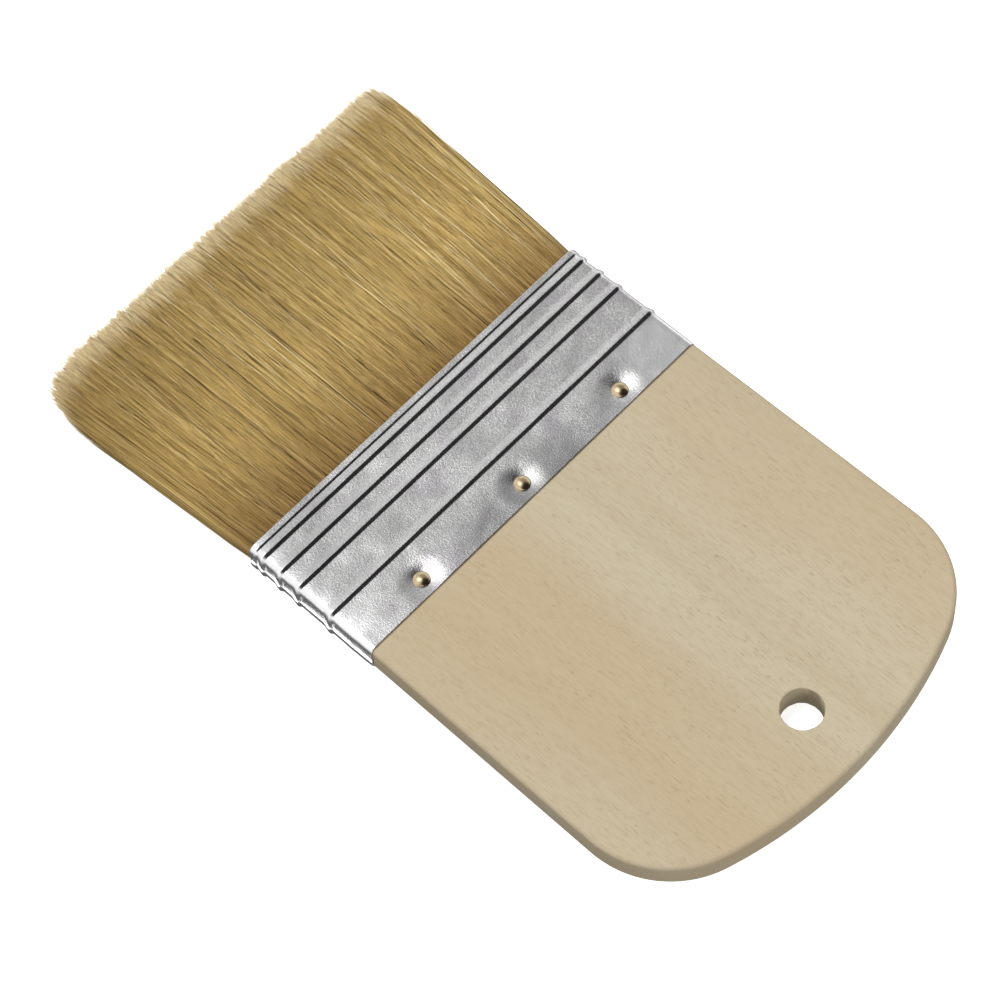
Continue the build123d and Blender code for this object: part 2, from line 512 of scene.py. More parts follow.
@dataclass(frozen=True)
class Tinplate(Finish):
    """Thin tinned sheet with a sandy skin and slow waves from pressing."""

    wood_end: float
    base: Colour = (0.90, 0.895, 0.89)
    violet: Colour = (0.74, 0.69, 0.75)
    green: Colour = (0.70, 0.74, 0.71)
    grain: Colour = (0.47, 0.46, 0.46)
    # painted dark reflection: the grey that the sheet's colour is darkened towards
    painted_dark_reflection: Colour = (0.36, 0.36, 0.36)
    # painted highlight: the white that the sheet's colour is lightened towards
    polished: Colour = (0.99, 0.99, 0.99)
    grain_size: float = 0.30 * MM
    label = Slot.TINPLATE.value

    def dress(self, graph: Graph, shader: bpy.types.Node) -> None:
        """Tints, speckle, painted dark reflections and highlights, and a fine bump.

        Args:
            graph: the material's tree.
            shader: its main shader.
        """
        place = self.place(graph)
        tint = graph.noise(place, 150.0, 3.0, 0.6, 0.4)
        colour = graph.colour_mix(graph.smooth(tint, 0.50, 0.66) * 0.5, self.base, self.violet)
        colour = graph.colour_mix(graph.smooth(tint, 0.50, 0.34) * 0.4, colour, self.green)
        speckle = graph.noise(place, 1.0 / self.grain_size, 3.0, 0.65)
        colour = graph.colour_mix(graph.smooth(speckle, 0.38, 0.66) * 0.55, colour, self.grain)
        colour = self._painted_light_zones(graph, place, colour)
        waves = graph.noise(graph.stretched(place, 130.0, 70.0, 130.0), 1.0, 2.0, 0.5)
        skin_bump = self.bump(graph, speckle, 0.035 * MM)
        self.settle(graph, shader, {
            "Base Color": colour,
            "Metallic": 1.0,
            "Roughness": graph.blend(speckle, 0.13, 0.34),
            "Normal": self.bump(graph, waves, 0.42 * MM, skin_bump),
        })

    def _painted_light_zones(
        self, graph: Graph, place: bpy.types.NodeSocket, colour: bpy.types.NodeSocket
    ) -> bpy.types.NodeSocket:
        """Darken the colour as painted dark reflections in the middle of the nail row and on the seam side,
        and lighten it as painted highlights towards the sheet's edges.

        Args:
            graph: the material's tree.
            place: the place on the sheet.
            colour: the sheet's colour so far.

        Returns:
            The colour with its painted dark reflections and highlights.
        """
        along, across, _ = graph.parts(place)

        def from_wood(first: float, last: float) -> Number:
            """0 to 1 between two distances in front of the wood's end, in millimetres."""
            return graph.smooth(along, self.wood_end - first * MM, self.wood_end - last * MM)

        def sideways(first: float, last: float) -> Number:
            """0 to 1 between two places across the brush, in millimetres."""
            return graph.smooth(across, first * MM, last * MM)

        # painted dark reflection: the colour darkened near the wood end, across the middle of the brush
        painted_dark_reflection = from_wood(9.0, 2.0) * sideways(-26.0, -6.0) * (1.0 - sideways(8.0, 22.0))
        colour = graph.colour_mix(painted_dark_reflection * 0.55, colour, self.painted_dark_reflection)
        # painted dark reflection: darker towards the seam side, more than 12 mm in front of the wood end
        darker = sideways(-12.0, -30.0) * (1.0 - from_wood(12.0, 9.5))
        colour = graph.colour_mix(darker * 0.34, colour, self.painted_dark_reflection)
        # painted highlight: lighter towards both side edges near the wood end, and all along the seam
        # side's edge
        bright = (sideways(-29.0, -38.0) + sideways(24.0, 33.0)) * from_wood(9.5, 7.5)
        bright = bright + sideways(-35.5, -38.5)
        return graph.colour_mix(bright * 0.85, colour, self.polished)


@dataclass(frozen=True)
class NailMetal(Finish):
    """Yellowish metal of the small nails, with darker patches and fine scratches."""

    base: Colour = (0.66, 0.52, 0.33)
    darker: Colour = (0.34, 0.27, 0.18)
    label = Slot.NAIL_METAL.value

    def dress(self, graph: Graph, shader: bpy.types.Node) -> None:
        """Dull patches and fine scratches.

        Args:
            graph: the material's tree.
            shader: its main shader.
        """
        place = self.place(graph)
        patches = graph.noise(place, 1400.0, 2.0, 0.6)
        scratches = graph.noise(graph.stretched(place, 900.0, 9000.0, 900.0), 1.0, 1.0)
        self.settle(graph, shader, {
            "Base Color": graph.colour_mix(graph.smooth(patches, 0.5, 0.75), self.base, self.darker),
            "Metallic": 1.0,
            "Roughness": graph.blend(patches, 0.12, 0.34),
            "Normal": self.bump(graph, scratches, 0.01 * MM),
        })


@dataclass(frozen=True)
class CuredResin(Finish):
    """Amber resin that holds the butts of the bristle."""

    base: Colour = linear(150, 105, 52)
    deep: Colour = linear(96, 60, 28)
    label = Slot.SETTING_RESIN.value

    def dress(self, graph: Graph, shader: bpy.types.Node) -> None:
        """Cloudy amber with small pits.

        Args:
            graph: the material's tree.
            shader: its main shader.
        """
        place = self.place(graph)
        cloud = graph.noise(place, 260.0, 3.0, 0.6)
        pits = graph.noise(place, 1800.0, 1.0)
        self.settle(graph, shader, {
            "Base Color": graph.colour_mix(cloud, self.base, self.deep),
            "Roughness": graph.blend(pits, 0.25, 0.55),
            "Normal": self.bump(graph, pits, 0.03 * MM),
        })


@dataclass(frozen=True)
class BleachedBristle(Finish):
    """Hog bristle: each hair has its own tone, and pales towards a flagged tip."""

    label = Slot.BRISTLE.value

    def dress(self, graph: Graph, shader: bpy.types.Node) -> None:
        """Tone across the map and the way from root to tip along it.

        Args:
            graph: the material's tree.
            shader: its main shader.
        """
        map_node = graph.node("ShaderNodeUVMap", {"uv_map": BAKE_LAYER})
        tone, along, _ = graph.parts(map_node.outputs[0])
        body = graph.ramp(
            tone,
            (0.02, linear(40, 31, 20)),
            (0.08, linear(92, 74, 42)),
            (0.25, linear(164, 131, 72)),
            (0.50, linear(194, 165, 98)),
            (0.75, linear(214, 187, 121)),
            (0.97, linear(238, 222, 176)),
        )
        root = graph.colour_mix(1.0, body, linear(184, 169, 148), "MULTIPLY")
        colour = graph.colour_mix(graph.smooth(along, 0.0, 0.45), root, body)
        pale = graph.ramp(
            tone,
            (0.02, linear(92, 78, 52)),
            (0.30, linear(236, 214, 164)),
            (0.97, linear(250, 238, 204)),
        )
        colour = graph.colour_mix(graph.smooth(along, 0.895, 0.975), colour, pale)
        self.settle(graph, shader, {
            "Base Color": colour,
            "Roughness": 0.42,
            "Specular IOR Level": 0.45,
        })


@dataclass(frozen=True)
class StudioFloor(Finish):
    """Pale table top."""

    label = "studio_floor"

    def dress(self, graph: Graph, shader: bpy.types.Node) -> None:
        """Matt, near white and lit a little from below, so that shadows stay faint.

        Args:
            graph: the material's tree.
            shader: its main shader.
        """
        self.settle(graph, shader, {
            "Base Color": (0.90, 0.90, 0.90),
            "Roughness": 0.9,
            "Emission Color": (1.0, 1.0, 1.0),
            "Emission Strength": 0.80,
        })


# ---- Mesh helpers ---------------------------------------------------------------------------
def add_piece(name: str, mesh: bpy.types.Mesh) -> bpy.types.Object:
    """Put a mesh in the scene.

    Args:
        name: the object's name.
        mesh: what it shows.

    Returns:
        An object at the origin.
    """
    piece = bpy.data.objects.new(name, mesh)
    bpy.context.scene.collection.objects.link(piece)
    return piece


def clean(mesh: bpy.types.Mesh, merge: float) -> None:
    """Merge a mesh's doubles and turn its faces outward.

    Args:
        mesh: the mesh, which is changed.
        merge: points that are closer than this become one.
    """
    work = bmesh.new()
    work.from_mesh(mesh)
    bmesh.ops.remove_doubles(work, verts=work.verts, dist=merge)
    bmesh.ops.recalc_face_normals(work, faces=work.faces)
    work.to_mesh(mesh)
    work.free()


def skin(
    name: str,
    points: Sequence[Point],
    faces: Sequence[tuple[int, ...]],
    sharp: float | None = None,
    merge: float = DOUBLE,
) -> bpy.types.Mesh:
    """A smooth shaded mesh with its doubles merged and its faces outward.

    Args:
        name: the mesh's name.
        points: its corners.
        faces: its faces as corner numbers.
        sharp: edges that turn by more than this many degrees stay crisp.
        merge: points that are closer than this become one.

    Returns:
        The mesh.
    """
    mesh = bpy.data.meshes.new(name)
    mesh.from_pydata(points, [], faces)
    clean(mesh, merge)
    mesh.shade_smooth()
    if sharp is not None:
        mesh.set_sharp_from_angle(angle=math.radians(sharp))
    return mesh


def grid_faces(rows: int, columns: int) -> list[tuple[int, ...]]:
    """The squares of a net of points whose columns close to a ring.

    Args:
        rows: how many rows of points there are.
        columns: how many points each row has.

    Returns:
        The squares as corner numbers.
    """
    return [
        (r * columns + c, r * columns + (c + 1) % columns,
         (r + 1) * columns + (c + 1) % columns, (r + 1) * columns + c)
        for r in range(rows - 1)
        for c in range(columns)
    ]


def stations(
    low: float, high: float, coarse: float, fine: Sequence[tuple[float, float, float]]
) -> list[float]:
    """Places from low to high, closer together inside some stretches.

    Args:
        low: the first place.
        high: the last place.
        coarse: the usual step.
        fine: stretches as (start, end, step).

    Returns:
        The sorted places.
    """
    places = [low]
    while places[-1] < high - 1e-9:
        here = places[-1]
        step = min([s for a, b, s in fine if a - 1e-9 <= here < b] or [coarse])
        ahead = min([a for a, _, s in fine if here + 1e-9 < a and s < step] or [high])
        places.append(min(here + step, max(ahead, here + step * 0.2), high))
    return places


# ---- Handle ---------------------------------------------------------------------------------
@dataclass
class Handle:
    """The wooden plate with its bowed end and hanging hole, and the tongue inside the ferrule."""

    finish: RawWood
    flare: float = 0.45 * MM
    edge_radius: float = 0.9 * MM
    corner_radius: float = 18.8 * MM
    bow_radius: float = 83.4 * MM
    hole_radius: float = 3.67 * MM
    hole_inset: float = 12.5 * MM
    hole_edge: float = 0.25 * MM
    tongue_relief: float = 0.45 * MM
    tongue_side_relief: float = 1.4 * MM
    width_at_ferrule: float = 78.7 * MM
    tuck: float = 0.1 * MM
    margin: float = 0.5 * MM
    ragged: float = 0.05 * MM
    step: float = 0.7 * MM
    hole_sides: int = 96

    def build(self) -> bpy.types.Object:
        """Make the plate and its tongue as one piece.

        Returns:
            The piece.
        """
        low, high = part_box("handle")
        self.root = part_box("ferrule")[1].x - self.tuck
        self.end = high.x
        self.low, self.high = low, high
        points, faces = self._plate()
        tongue_points, tongue_faces = self._tongue()
        faces += [tuple(i + len(points) for i in face) for face in tongue_faces]
        mesh = skin("handle_wood", points + tongue_points, faces, 50)
        mesh.materials.append(self.finish.material())
        return add_piece("handle_wood", mesh)

    def _outline(self) -> list[tuple[float, float, float, float]]:
        """The plate's outline, from one side of the ferrule round the bowed end to the other.

        Returns:
            Places as (x, y, x of the way out, y of the way out).
        """
        half = self.width_at_ferrule / 2
        slope = self.flare / (self.end - self.root)
        side = math.atan(slope)
        centre = self.end - self.bow_radius
        reach = self.bow_radius - self.corner_radius
        corner_x = self.end - self.corner_radius
        # The corner's centre slides along the side until its circle touches the bow as well.
        for _ in range(20):
            corner_y = half + slope * (corner_x - self.root) - self.corner_radius / math.cos(side)
            corner_x = centre + math.sqrt(reach**2 - corner_y**2)
        bow = math.atan2(corner_y, corner_x - centre)
        start = math.pi / 2 + side
        touch_x = corner_x + self.corner_radius * math.cos(start)
        upper = []
        count = round((touch_x - self.root) / (2 * self.step))
        for place in range(count):
            x = self.root + (touch_x - self.root) * place / count
            upper.append((x, half + slope * (x - self.root), math.cos(start), math.sin(start)))
        count = round(self.corner_radius * (start - bow) / self.step)
        for turn in arc_steps(start, bow, count)[:-1]:
            upper.append(on_circle(corner_x, corner_y, self.corner_radius, turn))
        count = round(self.bow_radius * bow / self.step)
        for turn in arc_steps(bow, 0.0, count):
            upper.append(on_circle(centre, 0.0, self.bow_radius, turn))
        lower = [(x, -y, nx, -ny) for x, y, nx, ny in reversed(upper[:-1])]
        return upper + lower

    def _levels(self, radius: float, steps: int) -> list[tuple[float, float]]:
        """The profile of a wall between the plate's two faces, with both of its edges rounded.

        Args:
            radius: the edges' radius.
            steps: how many steps each edge has.

        Returns:
            Places as (height over the lower face, inset).
        """
        thick = self.high.z - self.low.z
        quarter = arc_steps(0, math.pi / 2, steps)
        lower = [(radius * (1 - math.cos(turn)), radius * (1 - math.sin(turn))) for turn in quarter]
        upper = [(thick - height, inset) for height, inset in reversed(lower)]
        flat = radius + self.margin
        return [(0.0, flat), *lower, *upper, (thick, flat)]

    def _plate(self) -> tuple[list[Point], list[tuple[int, ...]]]:
        """The exposed plate: rounded rim, two flat faces and the wall of the hole.

        Returns:
            Its corners and its faces.
        """
        rim = self._outline()
        rows = self._levels(self.edge_radius, 9)
        points: list[Point] = []
        for height, inset in rows:
            for x, y, nx, ny in rim:
                shift = inset if x > self.root + 1e-9 else inset * abs(ny)
                points.append((max(x - nx * shift, self.root), y - ny * shift, self.low.z + height))
        faces = grid_faces(len(rows), len(rim))
        hole_x = self.end - self.hole_inset
        hole_rows = self._levels(self.hole_edge, 4)
        first_hole = len(points)
        for height, inset in hole_rows:
            for step in range(self.hole_sides):
                turn = 2 * math.pi * step / self.hole_sides
                wave = math.sin(5 * turn + 1.0) * math.sin(11 * turn) if inset > 0 else 0.0
                radius = self.hole_radius + inset + self.ragged * wave
                x, y, _, _ = on_circle(hole_x, 0.0, radius, turn)
                points.append((x, y, self.low.z + height))
        wall = grid_faces(len(hole_rows), self.hole_sides)
        faces += [tuple(i + first_hole for i in face) for face in wall]
        for row, hole_row in ((0, 0), (len(rows) - 1, len(hole_rows) - 1)):
            hole = first_hole + hole_row * self.hole_sides
            faces += self._flat_face(points, row * len(rim), len(rim), hole)
        return points, faces

    def _flat_face(
        self, points: list[Point], first: int, count: int, hole: int
    ) -> list[tuple[int, ...]]:
        """Triangles between an outline and the hole in it.

        Args:
            points: the plate's corners.
            first: the outline's first corner.
            count: how many corners the outline has.
            hole: the hole's first corner.

        Returns:
            The triangles as corner numbers.
        """
        work = bmesh.new()
        loops = []
        for start, size in ((first, count), (hole, self.hole_sides)):
            ring = [work.verts.new(points[start + i]) for i in range(size)]
            loops += [work.edges.new((ring[i], ring[(i + 1) % size])) for i in range(size)]
        work.verts.index_update()
        numbers = [*range(first, first + count), *range(hole, hole + self.hole_sides)]
        bmesh.ops.triangle_fill(work, use_beauty=True, use_dissolve=False, edges=loops)
        work.verts.index_update()
        found = [tuple(numbers[v.index] for v in face.verts) for face in work.faces]
        work.free()
        return found

    def _tongue(self) -> tuple[list[Point], list[tuple[int, ...]]]:
        """The block that runs on inside the ferrule.

        Returns:
            Its corners and its faces.
        """
        relief = self.tongue_relief
        half = self.width_at_ferrule / 2 - self.tongue_side_relief
        xs = (self.low.x, self.root + self.margin)
        zs = (self.low.z + relief, self.high.z - relief)
        points = [(x, y, z) for x in xs for y in (-half, half) for z in zs]
        faces = [(0, 1, 3, 2), (4, 6, 7, 5), (0, 4, 5, 1), (2, 3, 7, 6), (0, 2, 6, 4), (1, 5, 7, 3)]
        return points, faces


# ---- Ferrule --------------------------------------------------------------------------------
@dataclass
class Ferrule:
    """The tinplate band: a flattened tube with pressed ribs, a rolled lip, a lap seam and dimples."""

    finish: Tinplate
    sheet: float = 0.3 * MM
    corner_radius: float = 1.35 * MM
    rib_height: float = 0.35 * MM
    rib_insets: tuple[float, ...] = (9.9 * MM, 17.4 * MM, 21.7 * MM, 25.8 * MM)
    rib_shift: float = 0.2 * MM
    rib_rise: float = 1.5 * MM
    rib_fall: float = 0.7 * MM
    lip_height: float = 0.22 * MM
    lip_width: float = 1.5 * MM
    lip_slope: float = 0.45 * MM
    edge_radius: float = 0.1 * MM
    lap: float = 0.2 * MM
    lap_taper: float = 4.5 * MM
    seam_drop: float = 0.6 * MM
    dimple_depth: float = 0.85 * MM
    dimple_rim: float = 4.8 * MM
    edge_sag: float = 0.16 * MM
    sag_length: float = 7.0 * MM
    dents: float = 0.16 * MM
    corner_steps: int = 14
    coarse: float = 0.8 * MM
    rib_step: float = 0.09 * MM
    lip_step: float = 0.1 * MM
    nail_step: float = 0.25 * MM
    nail_side_step: float = 0.28 * MM
    inner_step: float = 0.35 * MM
    nails: list[Vector] = field(default_factory=list)

    def build(self) -> bpy.types.Object:
        """Make the band and press its ribs, lip and dimples.

        Returns:
            The piece.
        """
        low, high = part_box("ferrule")
        self.mouth, self.wood_end = low.x, high.x
        self.middle = (low.z + high.z) / 2
        self.half_width = high.y - self.rib_height
        self.half_thick = (high.z - low.z) / 2 - self.rib_height
        mesh = self._band()
        values = {
            "Wood end": self.wood_end, "Mouth": self.mouth, "Middle": self.middle,
            "Rib height": self.rib_height, "Rib rise": self.rib_rise, "Rib fall": self.rib_fall,
            "Rib shift": self.rib_shift, "Lip height": self.lip_height, "Lip width": self.lip_width,
            "Lip slope": self.lip_slope, "Dimple depth": self.dimple_depth,
            "Dimple rim": self.dimple_rim, "Edge sag": self.edge_sag, "Sag length": self.sag_length,
            "Dents": self.dents, "Material": self.finish.material(),
        }
        tree = GeometryTree("ferrule_pressing", values)
        self._press(tree)
        piece = tree.make("ferrule_band", mesh)
        piece.data.set_sharp_from_angle(angle=math.radians(60))
        return piece

    def _corner(self, side: int, face: int, first: float) -> list[tuple[float, ...]]:
        """One rounded corner of the outside.

        Args:
            side: 1 for the +Y side, -1 for the other.
            face: 1 for the upper corner, -1 for the lower one.
            first: the angle that it starts from, in radians.

        Returns:
            Places as (y, z, y of the way out, z of the way out), without the last one.
        """
        y = side * (self.half_width - self.corner_radius)
        z = face * (self.half_thick - self.corner_radius)
        turns = arc_steps(first, first - math.pi / 2, self.corner_steps)[:-1]
        return [on_circle(y, z, self.corner_radius, turn) for turn in turns]

    def _section(self) -> list[tuple[float, ...]]:
        """The outside once round, from the seam over the front and the back to the seam again.

        Returns:
            Places as (y, z, y of the way out, z of the way out, share of the lap).
        """
        flat_y = self.half_width - self.corner_radius
        flat_z = self.half_thick - self.corner_radius
        near = [(nail.y - 3.5 * MM, nail.y + 3.5 * MM, self.nail_side_step) for nail in self.nails]
        across = stations(-flat_y, flat_y, self.coarse, near)
        seam = -self.seam_drop
        places = [(-self.half_width, z, -1.0, 0.0) for z in np.linspace(seam, flat_z, 4)[:-1]]
        places += self._corner(-1, 1, math.pi)
        places += [(y, self.half_thick, 0.0, 1.0) for y in across[:-1]]
        places += self._corner(1, 1, math.pi / 2)
        places += [(self.half_width, z, 1.0, 0.0) for z in np.linspace(flat_z, -flat_z, 4)[:-1]]
        places += self._corner(1, -1, 0.0)
        places += [(y, -self.half_thick, 0.0, -1.0) for y in reversed(across[1:])]
        places += self._corner(-1, -1, -math.pi / 2)
        places += [(-self.half_width, z, -1.0, 0.0) for z in np.linspace(-flat_z, seam, 5)]
        from_seam = 0.0
        found = []
        after = places[-1]
        for here in reversed(places):
            from_seam += math.hypot(here[0] - after[0], here[1] - after[1])
            lap = max(0.0, 1 - from_seam / self.lap_taper)
            found.append((*here, lap * lap * (3 - 2 * lap)))
            after = here
        return found[::-1]

    def _rows(self) -> list[tuple[float, float]]:
        """The band's profile along X, once round the sheet.

        Returns:
            Places as (x, depth under the outside).
        """
        ribs = [self.wood_end - inset for inset in self.rib_insets]
        fine = [(x - self.rib_rise - 0.1 * MM, x + self.rib_fall + 0.4 * MM, self.rib_step) for x in ribs]
        fine.append((self.mouth, self.mouth + self.lip_width + 0.3 * MM, self.lip_step))
        fine.append((self.nails[0].x - 4 * MM, self.wood_end, self.nail_step))
        edge = self.edge_radius
        turns = arc_steps(math.pi / 2, 0.0, 3)[1:]
        rounding = [(edge * (1 - math.cos(turn)), -edge * (1 - math.sin(turn))) for turn in turns]
        rows = [(self.mouth, -self.sheet)]
        rows += [(self.mouth + back, depth) for back, depth in reversed(rounding)]
        rows += [(x, 0.0) for x in stations(self.mouth + edge, self.wood_end - edge, self.coarse, fine)]
        rows += [(self.wood_end - back, depth) for back, depth in rounding]
        under_nails = stations(self.nails[0].x - self.dimple_rim, self.wood_end, self.inner_step, [])
        return rows + [(x, -self.sheet) for x in (*reversed(under_nails), self.mouth)]

    def _band(self) -> bpy.types.Mesh:
        """The plain closed tube, with the way out and what may be pressed stored on its points.

        Returns:
            Its mesh.
        """
        rows, section = self._rows(), self._section()
        points, pressed, outward = [], [], []
        for x, depth in rows:
            outside = depth > -self.sheet
            for y, z, ny, nz, lap in section:
                rise = depth + (lap * self.lap if outside else 0.0)
                points.append((x, y + ny * rise, self.middle + z + nz * rise))
                pressed.append(1.0 if outside or x > self.mouth + self.lip_width else 0.0)
                outward += (0.0, ny, nz)
        mesh = bpy.data.meshes.new("ferrule_band")
        mesh.from_pydata(points, [], grid_faces(len(rows), len(section)))
        mesh.attributes.new("pressed", "FLOAT", "POINT").data.foreach_set("value", pressed)
        mesh.attributes.new("out", "FLOAT_VECTOR", "POINT").data.foreach_set("vector", outward)
        clean(mesh, DOUBLE)
        return mesh

    def _press(self, tree: GeometryTree) -> None:
        """Raise the ribs and the lip, and sink the sheet round each nail and at its edge.

        Args:
            tree: the tree to fill.
        """
        x, y, z = tree.parts(tree.node("GeometryNodeInputPosition").outputs[0])
        rise = 0.0
        for inset in self.rib_insets:
            crown = tree.size("Wood end") - inset + tree.size("Rib shift")
            foot = crown - tree.size("Rib rise")
            up = (tree.smooth(x, foot, crown) + tree.smooth(x, foot, crown, "LINEAR")) * 0.5
            down = 1.0 - tree.smooth(x, crown, crown + tree.size("Rib fall"))
            rise = tree.math("MINIMUM", up, down) * tree.size("Rib height") + rise
        from_mouth = x - tree.size("Mouth")
        lip_end = tree.size("Lip width")
        lip = 1.0 - tree.smooth(from_mouth, lip_end - tree.size("Lip slope"), lip_end)
        rise = rise + lip * tree.size("Lip height")
        sink = 0.0
        for nail in self.nails:
            away = tree.math("SQRT", (x - nail.x) ** 2.0 + (y - nail.y) ** 2.0)
            dish = tree.math("MAXIMUM", 1.0 - away / tree.size("Dimple rim"), 0.0) ** 2.0
            height = (z - tree.size("Middle")) * math.copysign(1.0, nail.z)
            sink = dish * tree.math("GREATER_THAN", height, 1 * MM) + sink
        dents = tree.noise(tree.vector(x, y * 0.5, z), 170.0, 2.0) - 0.5
        sag = tree.smooth(x, tree.size("Wood end") - tree.size("Sag length"), tree.size("Wood end")) ** 2.0
        sag = sag * tree.noise(tree.vector(0.0, y, z), 70.0, 1.0)
        rise = rise - sink * tree.size("Dimple depth") + dents * tree.size("Dents")
        rise = rise - sag * tree.size("Edge sag")
        out = tree.node("GeometryNodeInputNamedAttribute", {"data_type": "FLOAT_VECTOR"}, {"Name": "out"})
        inputs = {"Vector": out.outputs[0], "Scale": rise * tree.kept("pressed")}
        offset = tree.node("ShaderNodeVectorMath", {"operation": "SCALE"}, inputs).outputs[0]
        inputs = {"Geometry": tree.start.outputs["Geometry"], "Offset": offset}
        tree.close(tree.node("GeometryNodeSetPosition", None, inputs).outputs[0])


# ---- Nails ----------------------------------------------------------------------------------
@dataclass
class Nails:
    """Six small domed nails: one shape, repeated in a front row and a back row."""

    finish: NailMetal
    rows: Mapping[Face, Sequence[str]]
    head_radius: float = 1.5 * MM
    head_height: float = 0.75 * MM
    shank_radius: float = 0.6 * MM
    length: float = 4.2 * MM
    point: float = 1.1 * MM
    head_edge: float = 0.05 * MM
    pole: float = 0.001 * MM
    sides: int = 28

    @staticmethod
    def middle() -> float:
        """Half the height of the ferrule."""
        return sum(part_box("ferrule"), Vector()).z / 2

    def places(self, face: Face) -> list[Vector]:
        """Where the heads of one row sit.

        Args:
            face: the broad side that the row is on.

        Returns:
            Their seats, with z above or below the middle of the brush.
        """
        found = []
        for name in self.rows[face]:
            low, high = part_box(name)
            top = high.z if face is Face.FRONT else low.z
            seat_z = top - self.middle() - face.value * self.head_height
            found.append(Vector(((low.x + high.x) / 2, (low.y + high.y) / 2, seat_z)))
        return found

    def _nail(self) -> bpy.types.Object:
        """One nail with its seat at the origin and its head up.

        Returns:
            The shape to repeat.
        """
        dome = [(self.head_radius * math.cos(t), self.head_height * math.sin(t))
                for t in arc_steps(0.0, math.pi / 2, 7)[:-1]]
        profile = [(self.pole, -self.length), (self.shank_radius, self.point - self.length),
                   (self.shank_radius, 0.0), (self.head_radius - self.head_edge, 0.0), *dome,
                   (self.pole, self.head_height)]
        turns = [2 * math.pi * side / self.sides for side in range(self.sides)]
        points = [(*on_circle(0.0, 0.0, r, turn)[:2], height) for r, height in profile for turn in turns]
        faces = grid_faces(len(profile), self.sides)
        return add_piece("nail_shape", skin("nail_shape", points, faces, merge=2 * self.pole))

    def build(self) -> bpy.types.Object:
        """Repeat the nail along both rows.

        Returns:
            The piece with all the nails.
        """
        nail = self._nail()
        front, back = self.places(Face.FRONT), self.places(Face.BACK)
        values = {
            "Count": len(front), "Pitch": front[1].y - front[0].y, "Row": front[0].x,
            "Middle": self.middle(), "First": front[0].y, "Stagger": back[0].y - front[0].y,
            "Seat": front[0].z, "Nail": nail, "Material": self.finish.material(),
        }
        tree = GeometryTree("nail_rows", values)
        self._rows(tree)
        piece = tree.make("ferrule_nails")
        piece.data.set_sharp_from_angle(angle=math.radians(50))
        bpy.data.objects.remove(nail)
        return piece

    def _rows(self, tree: GeometryTree) -> None:
        """Two lines of points, the back one turned over.

        Args:
            tree: the tree to fill.
        """
        nail = tree.node("GeometryNodeObjectInfo", None, {"Object": tree.start.outputs["Nail"]})
        joined = tree.node("GeometryNodeJoinGeometry")
        for face in Face:
            first = tree.size("First") + tree.size("Stagger") * (0.0 if face is Face.FRONT else 1.0)
            height = tree.size("Middle") + tree.size("Seat") * float(face.value)
            line = tree.node("GeometryNodeMeshLine", None, {
                "Count": tree.start.outputs["Count"],
                "Start Location": tree.vector(tree.size("Row"), first, height),
                "Offset": tree.vector(0.0, tree.size("Pitch"), 0.0),
            })
            turn = (0.0 if face is Face.FRONT else math.pi, 0.0, 0.0)
            placed = tree.node("GeometryNodeInstanceOnPoints", None,
                               {"Points": line.outputs[0], "Instance": nail.outputs["Geometry"],
                                "Rotation": turn})
            tree.tree.links.new(placed.outputs[0], joined.inputs[0])
        tree.close(joined.outputs[0])


